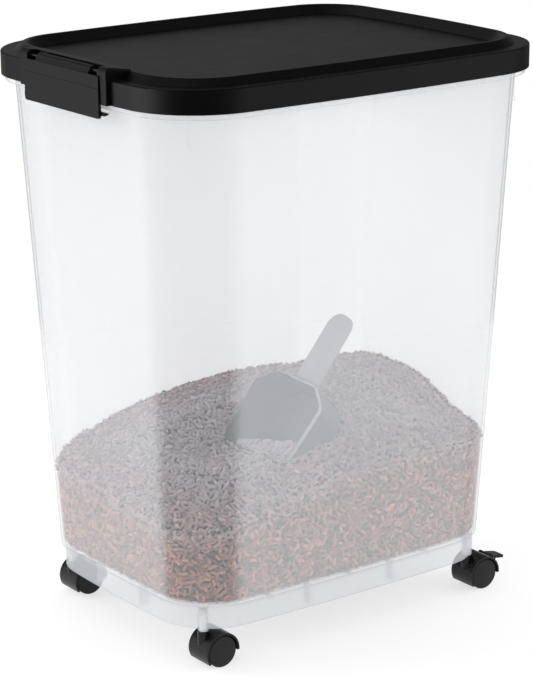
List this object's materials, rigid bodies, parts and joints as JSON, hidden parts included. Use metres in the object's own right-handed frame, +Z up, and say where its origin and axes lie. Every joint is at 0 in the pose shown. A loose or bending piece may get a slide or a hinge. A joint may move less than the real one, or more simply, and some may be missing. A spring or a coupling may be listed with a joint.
{
  "type": "pet food bin",
  "caption": "Rolling pet food bin: tapered translucent tub, hinged black lid with front flap latch, twin-wheel casters with rear brakes, and a scoop standing in the food.",
  "frame": {"origin": "floor level under the middle of the bin", "axes": "+Z up; -Y is the front with the latch, +Y the rear with the hinge; +X is the right side seen from the front"},
  "size_m": [0.369, 0.4804, 0.594],
  "materials": {
    "translucent": "natural translucent polypropylene, smooth moulded",
    "food": "loose dry kibble, rice-shaped brown grains",
    "lid_black": "fine moulded texture",
    "latch_black": "satin moulded",
    "caster_black": "satin moulded nylon",
    "wheel_black": "hard nylon wheel",
    "steel": "zinc-plated steel",
    "seal": "soft seal",
    "scoop_grey": "smooth moulded"
  },
  "bodies": {
    "bin": {"tub": "translucent", "kibble_fill": "food", "hinge_pin_left": "steel", "hinge_pin_right": "steel", "grip_ring_front_left": "steel", "grip_ring_front_right": "steel", "grip_ring_rear_left": "steel", "grip_ring_rear_right": "steel"},
    "lid": {"lid_shell": "lid_black", "lid_gasket": "seal", "latch_pin": "steel"},
    "latch": {"front_latch": "latch_black"},
    "scoop": {"scoop": "scoop_grey"},
    "caster_front_left": {"stem_front_left": "steel", "hood_front_left": "caster_black"},
    "wheels_front_left": {"axle_front_left": "steel", "wheel_front_left_left": "wheel_black", "wheel_front_left_right": "wheel_black"},
    "caster_front_right": {"stem_front_right": "steel", "hood_front_right": "caster_black"},
    "wheels_front_right": {"axle_front_right": "steel", "wheel_front_right_left": "wheel_black", "wheel_front_right_right": "wheel_black"},
    "caster_rear_left": {"stem_rear_left": "steel", "hood_rear_left": "caster_black", "brake_pin_rear_left": "steel"},
    "wheels_rear_left": {"axle_rear_left": "steel", "wheel_rear_left_left": "wheel_black", "wheel_rear_left_right": "wheel_black"},
    "brake_rear_left": {"brake_lever_rear_left": "caster_black"},
    "caster_rear_right": {"stem_rear_right": "steel", "hood_rear_right": "caster_black", "brake_pin_rear_right": "steel"},
    "wheels_rear_right": {"axle_rear_right": "steel", "wheel_rear_right_left": "wheel_black", "wheel_rear_right_right": "wheel_black"},
    "brake_rear_right": {"brake_lever_rear_right": "caster_black"}
  },
  "joints": [
    {"name": "lid_hinge", "type": "hinge", "parent": "bin", "child": "lid", "pos_m": [0, 0.236, 0.5543], "axis": [-1, 0, 0], "range_deg": [0, 105]},
    {"name": "latch_hinge", "type": "hinge", "parent": "lid", "child": "latch", "pos_m": [0, -0.2326, 0.5882], "axis": [-1, 0, 0], "range_deg": [0, 100]},
    {"name": "scoop_lift", "type": "slide", "parent": "bin", "child": "scoop", "axis": [0.0698, 0.6142, 0.7861], "range_m": [0, 0.12]},
    {"name": "swivel_front_left", "type": "hinge", "parent": "bin", "child": "caster_front_left", "pos_m": [-0.1205, -0.17, 0.0375], "axis": [0, 0, 1], "continuous": true},
    {"name": "roll_front_left", "type": "hinge", "parent": "caster_front_left", "child": "wheels_front_left", "pos_m": [-0.1205, -0.1575, 0.0165], "axis": [1, 0, 0], "continuous": true},
    {"name": "swivel_front_right", "type": "hinge", "parent": "bin", "child": "caster_front_right", "pos_m": [0.1205, -0.17, 0.0375], "axis": [0, 0, 1], "continuous": true},
    {"name": "roll_front_right", "type": "hinge", "parent": "caster_front_right", "child": "wheels_front_right", "pos_m": [0.1205, -0.1575, 0.0165], "axis": [1, 0, 0], "continuous": true},
    {"name": "swivel_rear_left", "type": "hinge", "parent": "bin", "child": "caster_rear_left", "pos_m": [-0.1205, 0.17, 0.0375], "axis": [0, 0, 1], "continuous": true},
    {"name": "roll_rear_left", "type": "hinge", "parent": "caster_rear_left", "child": "wheels_rear_left", "pos_m": [-0.1205, 0.1825, 0.0165], "axis": [1, 0, 0], "continuous": true},
    {"name": "brake_rear_left", "type": "hinge", "parent": "caster_rear_left", "child": "brake_rear_left", "pos_m": [-0.1205, 0.1981, 0.0291], "axis": [-1, 0, 0], "range_deg": [0, 14]},
    {"name": "swivel_rear_right", "type": "hinge", "parent": "bin", "child": "caster_rear_right", "pos_m": [0.1205, 0.17, 0.0375], "axis": [0, 0, 1], "continuous": true},
    {"name": "roll_rear_right", "type": "hinge", "parent": "caster_rear_right", "child": "wheels_rear_right", "pos_m": [0.1205, 0.1825, 0.0165], "axis": [1, 0, 0], "continuous": true},
    {"name": "brake_rear_right", "type": "hinge", "parent": "caster_rear_right", "child": "brake_rear_right", "pos_m": [0.1205, 0.1981, 0.0291], "axis": [-1, 0, 0], "range_deg": [0, 14]}
  ]
}
